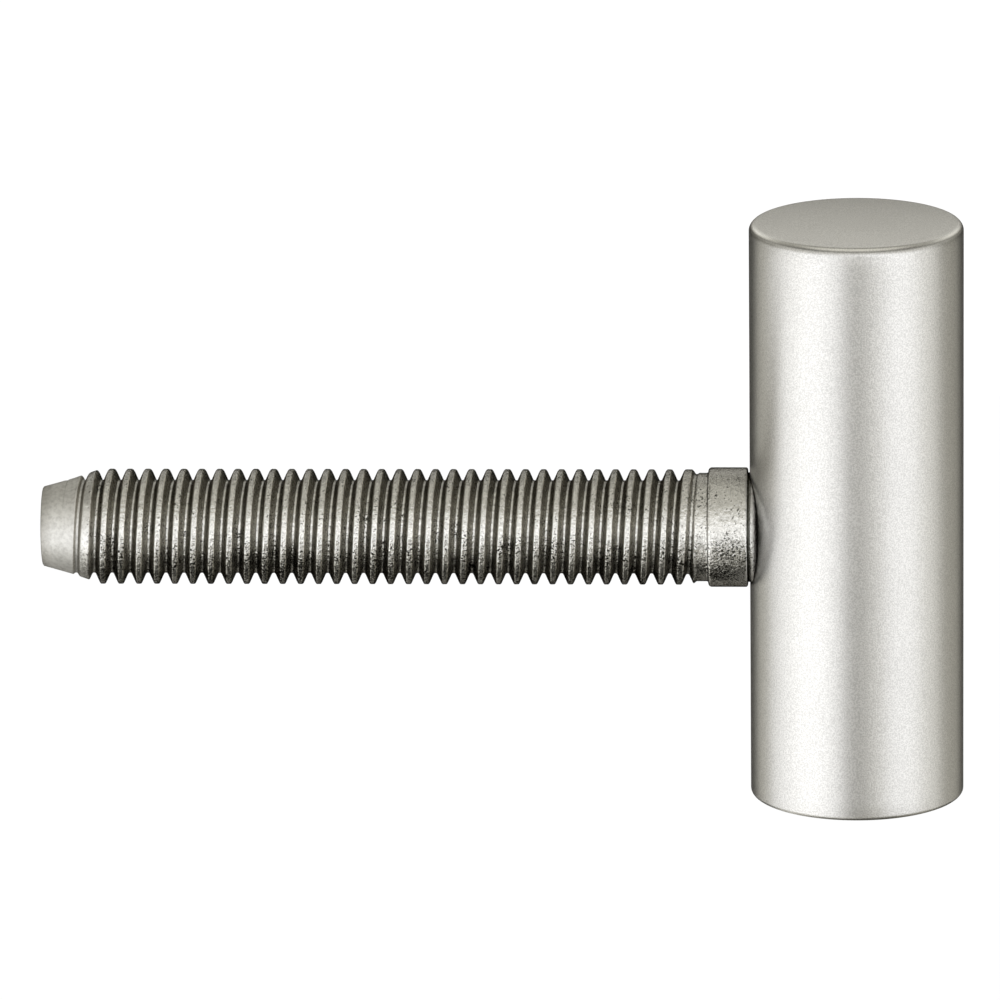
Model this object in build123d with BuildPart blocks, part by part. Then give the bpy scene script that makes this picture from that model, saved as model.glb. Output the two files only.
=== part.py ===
from build123d import *
import os
from math import ceil, cos, floor, radians, sin, tan

# Leaf half of a screw-in hinge for a rebated door: a bored knuckle and the threaded stud that
# carries it. The origin is the centre of the knuckle's lower face, on the hinge axis. +Z is up
# along the hinge axis, and the stud runs along -X. All sizes are in millimetres.

# Knuckle
barrel_diameter = 14.8
barrel_length = 41.0
top_edge_radius = 0.6
bottom_edge_chamfer = 0.3

# Bearing bush and the blind bore that it is pressed into
pin_diameter = 8.0
pin_running_clearance = 0.05
bush_wall = 0.95
bush_length = 28.0
bush_mouth_chamfer = 0.3
bore_depth = 31.0
bore_mouth_chamfer = 0.3
drill_point_angle = 118.0

# Stud: heights and reaches are measured from the origin and the hinge axis
stud_height = 19.05
stud_reach = 56.5
point_diameter = 5.5
point_length = 2.1
point_base_diameter = 6.68
lead_length = 1.9
shank_diameter = 8.0

# Left-hand thread: a groove between flat crests. groove_start is its reach on the underside, where
# it gets to its full depth. From there to the collar it runs out, and its root rises
thread_pitch = 1.25
thread_depth = 0.77
crest_width = 0.4
groove_start = 11.77
run_out_rise_per_turn = 0.85
facets_per_turn = 18
trim_margin = 0.05

# Plain neck and collar: how far their sides lie below and above the shank's
neck_relief = 0.24
neck_length = 0.95
collar_rise = 0.15
collar_length = 2.75
collar_front_radius = 0.25
collar_back_chamfer = 0.15
collar_gap = 0.13

# Bevelled back of the collar, inside a flat land, and the spigot fixed in the knuckle's wall
collar_back_land = 0.2
spigot_diameter = 5.5
spigot_end_gap = 0.15
spigot_clearance = 0.01

# Worked out from the sizes above
barrel_radius = barrel_diameter / 2
bush_inner_radius = pin_diameter / 2 + pin_running_clearance
bore_radius = bush_inner_radius + bush_wall
drill_point_length = bore_radius / tan(radians(drill_point_angle / 2))
spigot_radius = spigot_diameter / 2
spigot_start = bore_radius + spigot_end_gap
# the bevel's small end lies where the spigot's sides leave the round knuckle
bevel_start = (barrel_radius**2 - spigot_radius**2) ** 0.5
collar_back = barrel_radius + collar_gap
collar_front = collar_back + collar_length
shank_base = collar_front + neck_length
point_base = stud_reach - point_length
shank_end = point_base - lead_length
shank_radius = shank_diameter / 2
neck_radius = shank_radius - neck_relief
collar_radius = shank_radius + collar_rise
bevel_large_radius = collar_radius - collar_back_land
lead_slope = lead_length / (shank_radius - point_base_diameter / 2)

# The stud's half section is drawn in this plane: local x runs along the stud from the hinge axis,
# and local y up from the stud's own axis
stud_plane = Plane(origin=(0, 0, stud_height), x_dir=(-1, 0, 0), z_dir=(0, 1, 0))
stud_axis = Axis((0, 0, stud_height), (-1, 0, 0))

os.makedirs("parts", exist_ok=True)


def rims_of(solid, radius, axis):
    """Round edges of one radius on a turned solid, in order along an axis."""
    circles = solid.edges().filter_by(GeomType.CIRCLE)
    return circles.filter_by(lambda edge: abs(edge.radius - radius) < 0.001).sort_by(axis)


def thread_edge(offset, is_root=False):
    """Corners of one edge of the thread, which lies offset millimetres from the groove's root."""
    corners = []
    for step in range(first_step, last_step + 1):
        turn = step / facets_per_turn
        root_reach = groove_start + thread_pitch * (turn - 0.5)
        radius = shank_radius
        if is_root:
            turns_of_run_out = max(0, (groove_start - root_reach) / thread_pitch)
            radius -= max(0, thread_depth - run_out_rise_per_turn * turns_of_run_out)
        around = radians(360 * turn)
        height = stud_height + radius * cos(around)
        corners.append(Vector(-root_reach - offset, -radius * sin(around), height))
    return corners


# Body of the thread, with flat facets between its edges: one flank, the crest, the other flank.
# It runs past the stud at both ends, where a fan of facets closes it
first_step = facets_per_turn * floor((collar_front - groove_start) / thread_pitch - 1)
last_step = facets_per_turn * ceil((stud_reach - groove_start) / thread_pitch + 2)
root_edge = thread_edge(0, is_root=True)
crest_start_edge = thread_edge((thread_pitch - crest_width) / 2)
crest_end_edge = thread_edge((thread_pitch + crest_width) / 2)
next_root_edge = root_edge[facets_per_turn:]
facets = []
for i in range(len(next_root_edge) - 1):
    crest = (crest_start_edge[i], crest_start_edge[i + 1], crest_end_edge[i + 1], crest_end_edge[i])
    facets.append(crest)
    for low, high in ((root_edge, crest_start_edge), (next_root_edge, crest_end_edge)):
        facets.append((low[i], low[i + 1], high[i + 1]))
        facets.append((low[i], high[i + 1], high[i]))
for i, outwards in ((0, thread_pitch), (len(next_root_edge) - 1, -thread_pitch)):
    rim = root_edge[i : i + facets_per_turn + 1] + [crest_end_edge[i], crest_start_edge[i]]
    hub = Vector(rim[0].X + outwards, 0, stud_height)
    facets += [(hub, corner, following) for corner, following in zip(rim, rim[1:] + rim[:1])]
thread_body = Solid(Shell([Face(Wire.make_polygon(facet, close=True)) for facet in facets]))

# Collar, bevelled back and spigot
with BuildPart() as collar:
    with BuildSketch(stud_plane) as collar_section:
        with BuildLine():
            Polyline(
                (spigot_start, 0),
                (collar_front, 0),
                (collar_front, collar_radius),
                (collar_back, collar_radius),
                (collar_back, bevel_large_radius),
                (bevel_start, spigot_radius),
                (spigot_start, spigot_radius),
                close=True,
            )
        make_face()
    revolve(axis=stud_axis)
    fillet(rims_of(collar, collar_radius, stud_axis)[-1], collar_front_radius)
    chamfer(rims_of(collar, collar_radius, stud_axis)[0], collar_back_chamfer)

# Threaded stud: the thread's body, turned to the outline of the neck, the lead and the blunt
# point, then joined to the collar. The outline clears the crests between the neck and the lead
with BuildPart() as threaded_stud:
    with BuildSketch(stud_plane) as stud_section:
        with BuildLine():
            Polyline(
                (collar_front, 0),
                (stud_reach, 0),
                (stud_reach, point_diameter / 2),
                (point_base, point_base_diameter / 2),
                (shank_end - trim_margin * lead_slope, shank_radius + trim_margin),
                (shank_base + neck_relief + trim_margin, shank_radius + trim_margin),
                (shank_base, neck_radius),
                (collar_front, neck_radius),
                close=True,
            )
        make_face()
    revolve(axis=stud_axis)
    add(thread_body, mode=Mode.INTERSECT)
    add(collar.part)

# Knuckle: a bar with its top rim rounded, drilled blind from below
with BuildPart() as barrel:
    with BuildSketch(Plane.XY) as barrel_section:
        Circle(barrel_radius)
    extrude(amount=barrel_length)
    chamfer(rims_of(barrel, barrel_radius, Axis.Z)[0], bottom_edge_chamfer)
    fillet(rims_of(barrel, barrel_radius, Axis.Z)[-1], top_edge_radius)
    with BuildSketch(Plane.XZ) as bore_section:
        with BuildLine():
            Polyline(
                (0, 0),
                (bore_radius + bore_mouth_chamfer, 0),
                (bore_radius, bore_mouth_chamfer),
                (bore_radius, bore_depth),
                (0, bore_depth + drill_point_length),
                close=True,
            )
        make_face()
    revolve(axis=Axis.Z, mode=Mode.SUBTRACT)
    # cross hole for the spigot, with the seat that the collar's bevel is pulled against
    hole_radius = spigot_radius + spigot_clearance
    bevel_run = (collar_back - bevel_start) / (bevel_large_radius - spigot_radius)
    seat_start = bevel_start + spigot_clearance * bevel_run
    with BuildSketch(stud_plane) as seat_section:
        with BuildLine():
            Polyline(
                (0, 0),
                (0, hole_radius),
                (seat_start, hole_radius),
                (collar_back, bevel_large_radius),
                (collar_back, 0),
                close=True,
            )
        make_face()
    revolve(axis=stud_axis, mode=Mode.SUBTRACT)

# Plain sleeve in which the hinge pin turns
with BuildPart() as bearing_bush:
    with BuildSketch(Plane.XY) as bush_section:
        Circle(bore_radius)
        Circle(bush_inner_radius, mode=Mode.SUBTRACT)
    extrude(amount=bush_length)
    chamfer(rims_of(bearing_bush, bush_inner_radius, Axis.Z)[0], bush_mouth_chamfer)

barrel.part.label = "barrel"
threaded_stud.part.label = "threaded_stud"
bearing_bush.part.label = "bearing_bush"
export_step(barrel.part, "parts/barrel.step")
export_step(threaded_stud.part, "parts/threaded_stud.step")
export_step(bearing_bush.part, "parts/bearing_bush.step")
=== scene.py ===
from math import cos, pi, radians, sin, tan

import bmesh
import bpy
from mathutils import Matrix, Vector


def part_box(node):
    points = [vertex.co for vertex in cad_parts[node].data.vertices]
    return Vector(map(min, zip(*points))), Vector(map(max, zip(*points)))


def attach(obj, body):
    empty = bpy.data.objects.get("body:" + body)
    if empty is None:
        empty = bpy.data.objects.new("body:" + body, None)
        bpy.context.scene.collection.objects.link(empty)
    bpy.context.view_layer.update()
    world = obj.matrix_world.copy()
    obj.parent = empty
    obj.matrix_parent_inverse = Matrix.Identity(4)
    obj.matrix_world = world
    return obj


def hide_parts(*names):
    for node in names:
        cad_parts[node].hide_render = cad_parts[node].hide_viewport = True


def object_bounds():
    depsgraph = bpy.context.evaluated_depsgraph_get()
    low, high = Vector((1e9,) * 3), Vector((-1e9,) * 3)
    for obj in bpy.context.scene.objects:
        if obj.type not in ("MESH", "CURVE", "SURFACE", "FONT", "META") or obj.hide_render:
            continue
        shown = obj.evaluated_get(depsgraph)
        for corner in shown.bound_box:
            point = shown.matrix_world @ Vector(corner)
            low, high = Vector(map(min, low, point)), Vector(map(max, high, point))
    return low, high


# Looks of a screw-in hinge's leaf half: a satin nickel knuckle with a rolled, threaded stud.
# The hinge's own sizes are in millimetres, and MM turns them into the metres of the meshes.
# The camera's distance, the studio, the floor and the bumps of the surfaces are in metres.

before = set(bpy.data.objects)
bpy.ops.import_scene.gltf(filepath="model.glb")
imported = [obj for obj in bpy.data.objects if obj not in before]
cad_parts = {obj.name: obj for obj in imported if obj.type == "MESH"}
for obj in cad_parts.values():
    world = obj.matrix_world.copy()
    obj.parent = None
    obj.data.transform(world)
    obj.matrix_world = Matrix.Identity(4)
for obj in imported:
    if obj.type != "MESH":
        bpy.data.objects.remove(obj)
cad_low, cad_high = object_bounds()
MM = 0.001

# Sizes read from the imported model
barrel_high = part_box("barrel")[1]
stud_low, stud_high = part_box("threaded_stud")
bush_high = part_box("bearing_bush")[1]
barrel_radius = barrel_high.x / MM
barrel_length = barrel_high.z / MM
stud_height = (stud_low.z + stud_high.z) / 2 / MM
stud_reach = -stud_low.x / MM
spigot_end = -stud_high.x / MM
collar_radius = (stud_high.z - stud_low.z) / 2 / MM
bush_radius = bush_high.x / MM
bush_length = bush_high.z / MM

# Knuckle
top_edge_radius = 0.55
top_crown = 0.16
bottom_edge_radius = 0.3
bore_chamfer = 0.3
bore_depth = 31.0
drill_half_angle = radians(59)

# Bearing bush
bush_inner_radius = 4.05
bush_mouth_chamfer = 0.3
bush_end_chamfer = 0.12

# Left-hand thread. groove_start is a groove's reach on the stud's underside, where its run-out
# begins, and run_out_rise is how far the groove's root rises there in a turn
thread_radius = 4.0
thread_pitch = 1.25
root_radius = 3.23
root_half_width = 0.1
flank_angle = radians(24)
crest_blend = 0.16
root_blend = 0.12
groove_start = 11.77
run_out_rise = 0.85

# Radii of the stud's plain stretches, and the rounds and the chamfer of their edges
spigot_radius = 2.75
shoulder_radius = 3.93
undercut_radius = 3.8
collar_back_round = 0.15
collar_front_round = 0.25
neck_foot_round = 0.12
neck_radius = 3.76
point_base_radius = 3.34
point_edge_radius = 2.77
point_radius = 2.75
point_chamfer = 0.06

# Places along the stud, as reaches from the hinge axis. The shoulder meets the knuckle, and the
# undercut lies between it and the collar. The thread's grid runs from grid_start to grid_end
shoulder_root = 6.87
shoulder_peak = 7.3
undercut_start = 7.36
collar_back = 7.53
collar_front = 10.28
grid_start = 10.8
neck_end = 11.08
shank_base = 11.4
lead_start = 52.5
point_base = 54.4
grid_end = 55.4

# Fineness of the meshes. row_crowding takes rows from the thread's flanks to its crest and root,
# and spare_turns is how far its rows go on past each end before they are cut to it
knuckle_sides = 240
crown_steps = 10
top_edge_steps = 10
side_steps = 40
bottom_edge_steps = 6
bush_sides = 120
stud_sides = 72
thread_rows = 30
row_crowding = 0.045
neck_foot_steps = 4
collar_front_steps = 6
collar_back_steps = 5
shoulder_steps = 8
spare_turns = 2
sharp_angle = radians(38)
same_place = 1e-7
no_length = 1e-8


def lerp(a, b, t):
    return a + (b - a) * t


def smooth_min(a, b, blend):
    """The lower of two heights, with the corner between them rounded over a width of blend."""
    overlap = max(blend - abs(a - b), 0) / blend
    return min(a, b) - overlap * overlap * blend / 4


def smooth_max(a, b, blend):
    return -smooth_min(-a, -b, blend)


def stud_outline(reach):
    """Radius of the stud without its groove, from the neck to the point."""
    if reach > point_base:
        return lerp(point_base_radius, point_radius, (reach - point_base) / (stud_reach - point_base))
    if reach > lead_start:
        return lerp(thread_radius, point_base_radius, (reach - lead_start) / (point_base - lead_start))
    if reach > shank_base:
        return thread_radius
    if reach > neck_end:
        return lerp(neck_radius, thread_radius, (reach - neck_end) / (shank_base - neck_end))
    return neck_radius


def threaded_radius(reach, turn):
    """Radius of the threaded surface; turn is the angle from the stud's top over its front, in turns."""
    groove = round((reach - groove_start) / thread_pitch - turn + 0.5)
    groove_reach = groove_start + thread_pitch * (groove + turn - 0.5)
    root = root_radius + run_out_rise * max(0.0, (groove_start - groove_reach) / thread_pitch)
    flank = root + (abs(reach - groove_reach) - root_half_width) / tan(flank_angle)
    return smooth_min(stud_outline(reach), smooth_max(root, flank, root_blend), crest_blend)


def arc(centre_a, centre_b, radius, start, end, steps):
    """Points of a round in a profile's plane; angles are in degrees from the first axis."""
    points = []
    for step in range(steps + 1):
        angle = radians(lerp(start, end, step / steps))
        points.append((centre_a + radius * cos(angle), centre_b + radius * sin(angle)))
    return points


def knuckle_profile():
    """Radius and height, from the crowned top down the side and up the bore to its drill point."""
    rim = barrel_radius - top_edge_radius
    side_top = barrel_length - top_crown - top_edge_radius
    side_bottom = bottom_edge_radius
    profile = [(0, barrel_length)]
    for step in range(1, crown_steps + 1):
        radius = rim * step / crown_steps
        profile.append((radius, barrel_length - top_crown * (radius / rim) ** 2))
    profile += arc(rim, side_top, top_edge_radius, 90, 0, top_edge_steps)[1:]
    for step in range(1, side_steps):
        profile.append((barrel_radius, lerp(side_top, side_bottom, step / side_steps)))
    profile += arc(barrel_radius - side_bottom, side_bottom, bottom_edge_radius, 0, -90, bottom_edge_steps)
    profile += [(bush_radius + bore_chamfer, 0), (bush_radius, bore_chamfer), (bush_radius, bore_depth)]
    profile.append((0, bore_depth + bush_radius / tan(drill_half_angle)))
    return profile


def bush_profile():
    """Radius and height, once round the section of the bush's wall."""
    start = (bush_inner_radius, bush_length - bush_end_chamfer)
    return [
        start,
        (bush_inner_radius + bush_end_chamfer, bush_length),
        (bush_radius, bush_length),
        (bush_radius, 0),
        (bush_inner_radius + bush_mouth_chamfer, 0),
        (bush_inner_radius, bush_mouth_chamfer),
        start,
    ]


def collar_profile():
    """Reach and radius, from the thread's grid over neck, collar and shoulder to the spigot's end."""
    neck_foot = collar_front + neck_foot_round
    profile = [(grid_start, neck_radius), (neck_foot, neck_radius)]
    profile += arc(neck_foot, neck_radius + neck_foot_round, neck_foot_round, -90, -180, neck_foot_steps)[1:]
    edge = collar_front_round
    profile += arc(collar_front - edge, collar_radius - edge, edge, 0, 90, collar_front_steps)
    edge = collar_back_round
    profile += arc(collar_back + edge, collar_radius - edge, edge, 90, 180, collar_back_steps)
    profile += [(collar_back, undercut_radius), (undercut_start, undercut_radius)]
    for step in range(shoulder_steps + 1):
        angle = radians(90 * step / shoulder_steps)
        reach = lerp(shoulder_peak, shoulder_root, sin(angle))
        profile.append((reach, lerp(spigot_radius, shoulder_radius, cos(angle))))
    profile += [(spigot_end, spigot_radius), (spigot_end, 0)]
    return profile


def point_profile():
    """Reach and radius, from the thread's grid to the middle of the point's flat end."""
    return [
        (grid_end, stud_outline(grid_end)),
        (stud_reach - point_chamfer, point_edge_radius),
        (stud_reach, point_radius - point_chamfer),
        (stud_reach, 0),
    ]


def upright_point(radius, height, turn):
    """A place given by its distance from the hinge axis, its height and its angle in turns."""
    return radius * MM * cos(2 * pi * turn), radius * MM * sin(2 * pi * turn), height * MM


def stud_point(reach, radius, turn):
    """A place given along and from the stud's axis; turn goes from its top over its front."""
    height = stud_height + radius * cos(2 * pi * turn)
    return -reach * MM, -radius * MM * sin(2 * pi * turn), height * MM


def upright_ring(bm, radius, height, sides):
    """Vertices round the hinge axis, or one vertex for all of them where the radius is nought."""
    if radius == 0:
        return [bm.verts.new(upright_point(0, height, 0))] * sides
    return [bm.verts.new(upright_point(radius, height, side / sides)) for side in range(sides)]


def stud_ring(bm, reach, radius):
    """Vertices round the stud's axis, or one vertex for all of them where the radius is nought."""
    if radius == 0:
        return [bm.verts.new(stud_point(reach, 0, 0))] * stud_sides
    return [bm.verts.new(stud_point(reach, radius, side / stud_sides)) for side in range(stud_sides)]


def add_rings(bm, rings):
    """Quads between rings that have as many vertices each, and triangles to a ring of one vertex."""
    for first, second in zip(rings, rings[1:]):
        for i in range(len(first)):
            j = (i + 1) % len(first)
            corners = [first[i], first[j], second[j], second[i]]
            bm.faces.new(list(dict.fromkeys(corners)))


def add_thread_grid(bm):
    """Quads whose rows follow the thread; rows past an end of the grid collapse onto its last ring."""
    steps = [row / thread_rows for row in range(thread_rows)]
    offsets = [step - row_crowding * sin(4 * pi * step) for step in steps]
    first_turn = int((grid_start - groove_start) / thread_pitch) - spare_turns
    last_turn = int((grid_end - groove_start) / thread_pitch) + spare_turns
    rows = []
    for thread_turn in range(first_turn, last_turn + 1):
        for offset in offsets:
            row = []
            for side in range(stud_sides + 1):
                turn = side / stud_sides
                reach = groove_start + thread_pitch * (thread_turn + offset + turn - 0.5)
                reach = min(max(reach, grid_start), grid_end)
                row.append(bm.verts.new(stud_point(reach, threaded_radius(reach, turn), turn)))
            rows.append(row)
    for first, second in zip(rows, rows[1:]):
        for i in range(stud_sides):
            bm.faces.new((first[i], first[i + 1], second[i + 1], second[i]))


def finish_piece(bm, name, node, material):
    """Makes a mesh a piece of the scene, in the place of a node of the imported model."""
    bmesh.ops.remove_doubles(bm, verts=bm.verts, dist=same_place)
    bmesh.ops.dissolve_degenerate(bm, edges=bm.edges, dist=no_length)
    bmesh.ops.recalc_face_normals(bm, faces=bm.faces)
    for face in bm.faces:
        face.smooth = True
    for edge in bm.edges:
        edge.smooth = len(edge.link_faces) != 2 or edge.calc_face_angle() < sharp_angle
    data = bpy.data.meshes.new(name)
    bm.to_mesh(data)
    bm.free()
    data.materials.append(material)
    piece = bpy.data.objects.new(name, data)
    bpy.context.scene.collection.objects.link(piece)
    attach(piece, "root")
    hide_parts(node)


def build_knuckle():
    bm = bmesh.new()
    add_rings(bm, [upright_ring(bm, radius, height, knuckle_sides) for radius, height in knuckle_profile()])
    finish_piece(bm, "knuckle", "barrel", satin_nickel())


def build_bush():
    bm = bmesh.new()
    add_rings(bm, [upright_ring(bm, radius, height, bush_sides) for radius, height in bush_profile()])
    finish_piece(bm, "pin_bush", "bearing_bush", bush_plastic())


def build_stud():
    bm = bmesh.new()
    add_thread_grid(bm)
    for profile in (collar_profile(), point_profile()):
        add_rings(bm, [stud_ring(bm, reach, radius) for reach, radius in profile])
    finish_piece(bm, "stud", "threaded_stud", plated_stud())


# Shader nodes
def node_material(name):
    material = bpy.data.materials.new(name)
    material.use_nodes = True
    tree = material.node_tree
    return material, tree, tree.nodes["Principled BSDF"]


def set_or_link(tree, value, socket):
    if isinstance(value, bpy.types.NodeSocket):
        tree.links.new(value, socket)
    else:
        socket.default_value = value


def texture_coordinates(tree):
    return tree.nodes.new("ShaderNodeTexCoord").outputs


def separate(tree, vector):
    node = tree.nodes.new("ShaderNodeSeparateXYZ")
    tree.links.new(vector, node.inputs["Vector"])
    return node.outputs


def noise(tree, coordinates, scale, detail, roughness=0.5):
    node = tree.nodes.new("ShaderNodeTexNoise")
    node.inputs["Scale"].default_value = scale
    node.inputs["Detail"].default_value = detail
    node.inputs["Roughness"].default_value = roughness
    tree.links.new(coordinates["Object"], node.inputs["Vector"])
    return node.outputs["Fac"]


def remap(tree, value, before, after):
    """A value taken from one range to another, and held at its ends."""
    node = tree.nodes.new("ShaderNodeMapRange")
    for name, limit in zip(("From Min", "From Max", "To Min", "To Max"), (*before, *after)):
        node.inputs[name].default_value = limit
    tree.links.new(value, node.inputs["Value"])
    return node.outputs["Result"]


def arithmetic(tree, operation, first, second):
    node = tree.nodes.new("ShaderNodeMath")
    node.operation = operation
    tree.links.new(first, node.inputs[0])
    tree.links.new(second, node.inputs[1])
    return node.outputs["Value"]


def distance_from_z_axis(tree, vector):
    """How far a place is from the Z axis, by the length of its vector without Z."""
    flat = tree.nodes.new("ShaderNodeVectorMath")
    flat.operation = "MULTIPLY"
    flat.inputs[1].default_value = (1, 1, 0)
    tree.links.new(vector, flat.inputs[0])
    length = tree.nodes.new("ShaderNodeVectorMath")
    length.operation = "LENGTH"
    tree.links.new(flat.outputs["Vector"], length.inputs[0])
    return length.outputs["Value"]


def ramp(tree, value, stops):
    """A colour or a grey that changes along a value; a stop is its position, then its colour."""
    node = tree.nodes.new("ShaderNodeValToRGB")
    while len(node.color_ramp.elements) < len(stops):
        node.color_ramp.elements.new(0.5)
    for element, (position, colour) in zip(node.color_ramp.elements, stops):
        element.position = position
        element.color = (*colour, 1) if isinstance(colour, tuple) else (colour, colour, colour, 1)
    tree.links.new(value, node.inputs["Fac"])
    return node.outputs["Color"]


def mix_colours(tree, blend, first, second, factor=1.0):
    """One colour blended over another. A Mix node's sockets for colours are reached by number."""
    node = tree.nodes.new("ShaderNodeMix")
    node.data_type = "RGBA"
    node.blend_type = blend
    set_or_link(tree, factor, node.inputs["Factor"])
    tree.links.new(first, node.inputs[6])
    set_or_link(tree, second, node.inputs[7])
    return node.outputs[2]


def bump(tree, height, depth, strength=1.0, over=None):
    """The normal of a surface that a texture raises; over is the normal of the surface below it."""
    node = tree.nodes.new("ShaderNodeBump")
    node.inputs["Distance"].default_value = depth
    set_or_link(tree, strength, node.inputs["Strength"])
    tree.links.new(height, node.inputs["Height"])
    if over:
        tree.links.new(over, node.inputs["Normal"])
    return node.outputs["Normal"]


# Materials
nickel_roughness = 0.34
rolled_roughness = 0.22
point_roughness = 0.55
plastic_roughness = 0.45
grain_depth = 0.000006
flake_depth = 0.00008
# Brightness of the painted highlight line on the knuckle's top rim
rim_highlight_strength = 0.4
# Colour of the painted shade in the slit behind the collar and where the shoulder meets the knuckle
painted_crevice_shade_colour = (0.06, 0.06, 0.05, 1)
# The stud's reflection dims towards grazing angles
edge_tint = (0.12, 0.11, 0.1, 1)

# Where the painted shade of the slit and the seat fades, in millimetres: over which lengths at the two sides
# of the slit behind the collar, and between which distances from the knuckle
collar_side_fade = 0.02
knuckle_side_fade = 0.03
seat_dark_to = 0.03
seat_clear_from = 0.09


def painted_rim_light(tree, colour, facing):
    """The top's rounded rim has a painted shade line round it, and a painted highlight line above that."""
    rim_shade_line = ramp(tree, facing["Z"], [(0.02, 1.0), (0.2, 0.9), (0.42, 0.88), (0.58, 0.6), (0.72, 1.0)])
    rim_highlight = ramp(tree, facing["Z"], [(0.62, 0.0), (0.82, 1.0), (0.99, 0.0)])
    colour = mix_colours(tree, "MULTIPLY", colour, rim_shade_line)
    return mix_colours(tree, "ADD", colour, rim_highlight, rim_highlight_strength)


def satin_nickel():
    """Satin nickel plate over a finely blasted surface."""
    material, tree, shader = node_material("satin_nickel")
    shader.inputs["Metallic"].default_value = 1.0
    shader.inputs["Roughness"].default_value = nickel_roughness
    coordinates = texture_coordinates(tree)
    grain = noise(tree, coordinates, scale=11000, detail=0.0)
    cloud = noise(tree, coordinates, scale=160, detail=3.0, roughness=0.55)
    tone = ramp(tree, cloud, [(0.3, (0.645, 0.64, 0.63)), (0.7, (0.675, 0.67, 0.66))])
    colour = mix_colours(tree, "MULTIPLY", tone, ramp(tree, grain, [(0.35, 0.78), (0.65, 1.0)]))
    # Painted shade and painted highlight lines on the top's rounded rim
    colour = painted_rim_light(tree, colour, separate(tree, coordinates["Normal"]))
    tree.links.new(colour, shader.inputs["Base Color"])
    tree.links.new(bump(tree, grain, grain_depth), shader.inputs["Normal"])
    return material


def painted_flank_shade(tree, facing):
    """Painted shade on the thread's flanks, darkest on those that face the point, with a slight warm shade
    on those that face the knuckle.
    """
    sideways = remap(tree, facing["X"], (-1, 1), (0, 1))
    to_point = (0.5, 0.49, 0.46)
    to_knuckle = (1, 0.98, 0.93)
    plain = (1, 1, 1)
    return ramp(tree, sideways, [(0.12, to_point), (0.33, plain), (0.67, plain), (0.88, to_knuckle)])


def pits_and_painted_shade(tree, coordinates, facing):
    """Dark pits in patches, with more of them towards the underside: the pits are marks of the surface,
    their crowding on the underside is painted shade.
    """
    pits = noise(tree, coordinates, scale=7000, detail=2.0, roughness=0.6)
    patches = noise(tree, coordinates, scale=500, detail=1.0)
    patchy = remap(tree, patches, (0.3, 0.7), (-0.06, 0.1))
    # Painted shade: the pits crowd on the side that faces down
    underside_shade = remap(tree, facing["Z"], (-0.25, 0.2), (-0.095, 0.01))
    depth = arithmetic(tree, "ADD", pits, arithmetic(tree, "ADD", patchy, underside_shade))
    return ramp(tree, depth, [(0.34, (0.08, 0.08, 0.07)), (0.39, (1, 1, 1))])


def painted_crevice_shade_mask(tree, coordinates, place):
    """1 in the slit behind the collar and along the line where the shoulder meets the knuckle, where shade
    is painted.
    """
    collar_side = (-(collar_back + collar_side_fade) * MM, -collar_back * MM)
    knuckle_side = (-(undercut_start + knuckle_side_fade) * MM, -undercut_start * MM)
    past_collar = remap(tree, place["X"], collar_side, (0, 1))
    past_slit = remap(tree, place["X"], knuckle_side, (0, 1))
    in_slit = arithmetic(tree, "SUBTRACT", past_collar, past_slit)
    seat_side = ((barrel_radius + seat_dark_to) * MM, (barrel_radius + seat_clear_from) * MM)
    at_seat = remap(tree, distance_from_z_axis(tree, coordinates["Object"]), seat_side, (1, 0))
    return arithmetic(tree, "MAXIMUM", in_slit, at_seat)


def plated_stud():
    """The same plate over rolled steel, flaked and pitted on thread and collar, plain on the point."""
    material, tree, shader = node_material("plated_stud")
    shader.inputs["Metallic"].default_value = 1.0
    shader.inputs["Specular Tint"].default_value = edge_tint
    coordinates = texture_coordinates(tree)
    place = separate(tree, coordinates["Object"])
    facing = separate(tree, coordinates["Normal"])
    flakes = noise(tree, coordinates, scale=3600, detail=3.0, roughness=0.6)
    grain = noise(tree, coordinates, scale=9000, detail=1.0)
    # 0 on the point, 1 from the first full crest to the collar
    rolled = remap(tree, place["X"], (-point_base * MM, -lead_start * MM), (0, 1))
    # 1 on the thread, 0 on the neck and the collar
    threaded = remap(tree, place["X"], (-neck_end * MM, -shank_base * MM), (0, 1))
    colour = ramp(tree, flakes, [(0.3, (0.56, 0.555, 0.54)), (0.6, (0.72, 0.715, 0.7))])
    # Painted shade on the thread's flanks
    colour = mix_colours(tree, "MULTIPLY", colour, painted_flank_shade(tree, facing), threaded)
    # Pits, crowded on the underside as painted shade
    colour = mix_colours(tree, "MULTIPLY", colour, pits_and_painted_shade(tree, coordinates, facing), rolled)
    # Painted shade in the slit behind the collar and along the seat on the knuckle
    colour = mix_colours(tree, "MIX", colour, painted_crevice_shade_colour, painted_crevice_shade_mask(tree, coordinates, place))
    tree.links.new(colour, shader.inputs["Base Color"])
    roughness = remap(tree, rolled, (0, 1), (point_roughness, rolled_roughness))
    tree.links.new(roughness, shader.inputs["Roughness"])
    flaked = bump(tree, flakes, flake_depth, strength=rolled)
    tree.links.new(bump(tree, grain, grain_depth, over=flaked), shader.inputs["Normal"])
    return material


def bush_plastic():
    """Plain dark polymer."""
    material, tree, shader = node_material("bush_plastic")
    shader.inputs["Roughness"].default_value = plastic_roughness
    cloud = noise(tree, texture_coordinates(tree), scale=900, detail=2.0)
    tree.links.new(ramp(tree, cloud, [(0.3, 0.1), (0.7, 0.13)]), shader.inputs["Base Color"])
    return material


build_knuckle()
build_bush()
build_stud()

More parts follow.
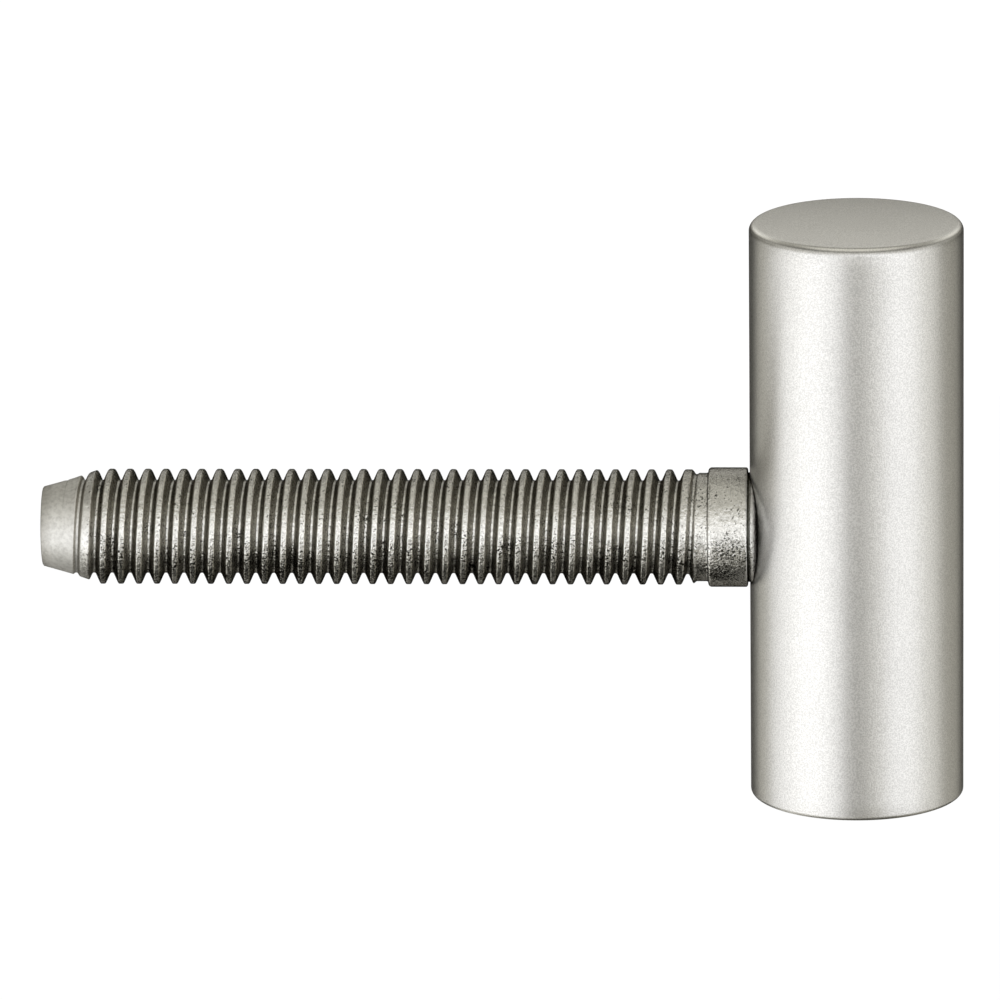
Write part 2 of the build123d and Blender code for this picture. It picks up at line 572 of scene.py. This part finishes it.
# Camera, placed by where the photograph shows the hinge axis and the stud's axis
picture_size = 1000
px_per_mm = 14.44
barrel_axis_px = 857.0
stud_axis_px = 527.25
camera_distance = 0.8
camera_pitch = radians(15.7)
camera_yaw = radians(2.5)
camera_roll = radians(-0.6)
sensor_mm = 36.0
nearest_seen = 0.05
farthest_seen = 30

view_width = picture_size / px_per_mm * MM
camera_data = bpy.data.cameras.new("camera")
camera_data.sensor_width = sensor_mm
camera_data.lens = sensor_mm * camera_distance / view_width
camera_data.clip_start = nearest_seen
camera_data.clip_end = farthest_seen
camera = bpy.data.objects.new("camera", camera_data)
bpy.context.scene.collection.objects.link(camera)
# where the two axes cross, right of the picture's centre and above it: in pixels as the photograph
# shows it, then in metres with the camera's roll taken out
across_px = barrel_axis_px - picture_size / 2
up_px = picture_size / 2 - stud_axis_px
to_right = (across_px * cos(camera_roll) - up_px * sin(camera_roll)) / px_per_mm * MM
upwards = (across_px * sin(camera_roll) + up_px * cos(camera_roll)) / px_per_mm * MM / cos(camera_pitch)
turn_to_side = Matrix.Rotation(camera_yaw, 4, "Z")
target = Vector((0, 0, stud_height * MM)) - turn_to_side @ Vector((to_right, 0, upwards))
towards_camera = turn_to_side @ Vector((0, -cos(camera_pitch), sin(camera_pitch)))
camera.matrix_world = (
    Matrix.Translation(target + camera_distance * towards_camera)
    @ turn_to_side
    @ Matrix.Rotation(pi / 2 - camera_pitch, 4, "X")
    @ Matrix.Rotation(camera_roll, 4, "Z")
)
bpy.context.scene.camera = camera

# Studio: rings of panels round the object, which only its reflections show. A ring has the two
# elevations that it spans, and then its panels, from straight behind the object round by the left:
# the angle where each one ends (0 is the camera's side, 90 is to its right) and its brightness.
# Angles are in degrees, and turn with the camera's yaw
studio_radius = 0.8
studio_height = 0.02
straight_behind = -180
light_rings = [
    (-62, -44, [(-60, 0.8), (-14, 0.8), (60, 0.15), (180, 0.3)]),
    (-44, -28, [(-110, 0.05), (-50, 1.0), (-14, 1.35), (14, 0.55), (50, 0.4), (110, 0.55), (180, 0.05)]),
    (-28, -12, [(-140, 0.0), (-110, 0.65), (-90, 1.55), (-70, 1.8), (-50, 2.3), (-32, 2.15), (-15, 1.55),
                (12, 0.12), (30, 0.75), (52, 1.6), (72, 1.7), (100, 1.1), (140, 0.5), (180, 0.0)]),
    (-12, 4, [(-130, 0.0), (-90, 0.5), (-60, 1.25), (-32, 1.55), (-12, 1.6), (12, 1.15), (32, 1.75),
              (60, 1.85), (90, 1.2), (130, 0.3), (180, 0.0)]),
    (4, 16, [(-150, 0.1), (-90, 0.25), (-40, 0.95), (-14, 1.4), (14, 1.6), (40, 1.85), (90, 1.2),
             (150, 0.4), (180, 0.1)]),
    (16, 40, [(-150, 0.95), (-90, 0.7), (-40, 0.95), (-14, 1.15), (14, 1.15), (40, 1.2), (90, 0.9),
              (150, 0.75), (180, 0.95)]),
    (40, 62, [(-60, 0.2), (60, 0.65), (180, 0.2)]),
]
ceiling_strength = 0.65
underside_strength = 0.05
strip_degrees = 6
disc_sides = 48

# A panel of dim_strength or less has dim_tint, and one of white_strength or more is white
dim_strength = 0.3
white_strength = 1.6
dim_tint = (1.0, 0.96, 0.8)

studio_centre = Vector(((cad_low.x + cad_high.x) / 2, 0, studio_height))


def emission_material(name, strength):
    material = bpy.data.materials.new(name)
    material.use_nodes = True
    tree = material.node_tree
    tree.nodes.clear()
    emission = tree.nodes.new("ShaderNodeEmission")
    whiteness = min(max((strength - dim_strength) / (white_strength - dim_strength), 0), 1)
    emission.inputs["Color"].default_value = (*(lerp(level, 1, whiteness) for level in dim_tint), 1)
    emission.inputs["Strength"].default_value = strength
    output = tree.nodes.new("ShaderNodeOutputMaterial")
    tree.links.new(emission.outputs["Emission"], output.inputs["Surface"])
    return material


def wall_point(angle, elevation):
    """A place on the studio's round wall, in a direction from its centre."""
    turn = radians(angle) + camera_yaw
    x = studio_centre.x + studio_radius * sin(turn)
    y = -studio_radius * cos(turn)
    z = studio_centre.z + studio_radius * tan(radians(elevation))
    return x, y, z


def add_panel(name, corners, faces, strength):
    """A light that casts no shadow, and that neither the camera nor a diffuse surface sees."""
    data = bpy.data.meshes.new(name)
    data.from_pydata(corners, [], faces)
    data.materials.append(emission_material(name, strength))
    panel = bpy.data.objects.new(name, data)
    bpy.context.scene.collection.objects.link(panel)
    panel.visible_camera = False
    panel.visible_diffuse = False
    panel.visible_shadow = False


def add_wall_panel(name, start, end, bottom, top, strength):
    strips = max(2, int((end - start) / strip_degrees))
    corners = []
    for i in range(strips + 1):
        angle = lerp(start, end, i / strips)
        corners += [wall_point(angle, bottom), wall_point(angle, top)]
    faces = [(2 * i, 2 * i + 2, 2 * i + 3, 2 * i + 1) for i in range(strips)]
    add_panel(name, corners, faces, strength)


def add_light_ring(number, bottom, top, panels):
    start = straight_behind
    for panel_number, (end, strength) in enumerate(panels):
        add_wall_panel(f"panel_{number}_{panel_number}", start, end, bottom, top, strength)
        start = end


def add_disc(name, elevation, strength):
    corners = [wall_point(360 * i / disc_sides, elevation) for i in range(disc_sides)]
    add_panel(name, corners, [tuple(range(disc_sides))], strength)


for ring_number, light_ring in enumerate(light_rings):
    add_light_ring(ring_number, *light_ring)
add_disc("ceiling", light_rings[-1][1], ceiling_strength)
add_disc("underside", light_rings[0][0], underside_strength)

# White floor and white world
floor_drop = 1.6
floor_half_width = 6
floor_white = 0.97
floor_roughness = 0.9
world_strength = 1.05


def floor_material():
    material, tree, shader = node_material("floor")
    shader.inputs["Base Color"].default_value = (floor_white, floor_white, floor_white, 1)
    shader.inputs["Roughness"].default_value = floor_roughness
    shader.inputs["Specular IOR Level"].default_value = 0.0
    return material


def add_floor():
    signs = ((-1, -1), (1, -1), (1, 1), (-1, 1))
    corners = [(x * floor_half_width, y * floor_half_width, -floor_drop) for x, y in signs]
    data = bpy.data.meshes.new("floor")
    data.from_pydata(corners, [], [(0, 1, 2, 3)])
    data.materials.append(floor_material())
    floor = bpy.data.objects.new("floor", data)
    bpy.context.scene.collection.objects.link(floor)


def set_world():
    world = bpy.data.worlds.new("world")
    bpy.context.scene.world = world
    world.use_nodes = True
    background = world.node_tree.nodes["Background"]
    background.inputs["Color"].default_value = (1, 1, 1, 1)
    background.inputs["Strength"].default_value = world_strength


add_floor()
set_world()
bpy.context.scene.view_settings.view_transform = "Standard"
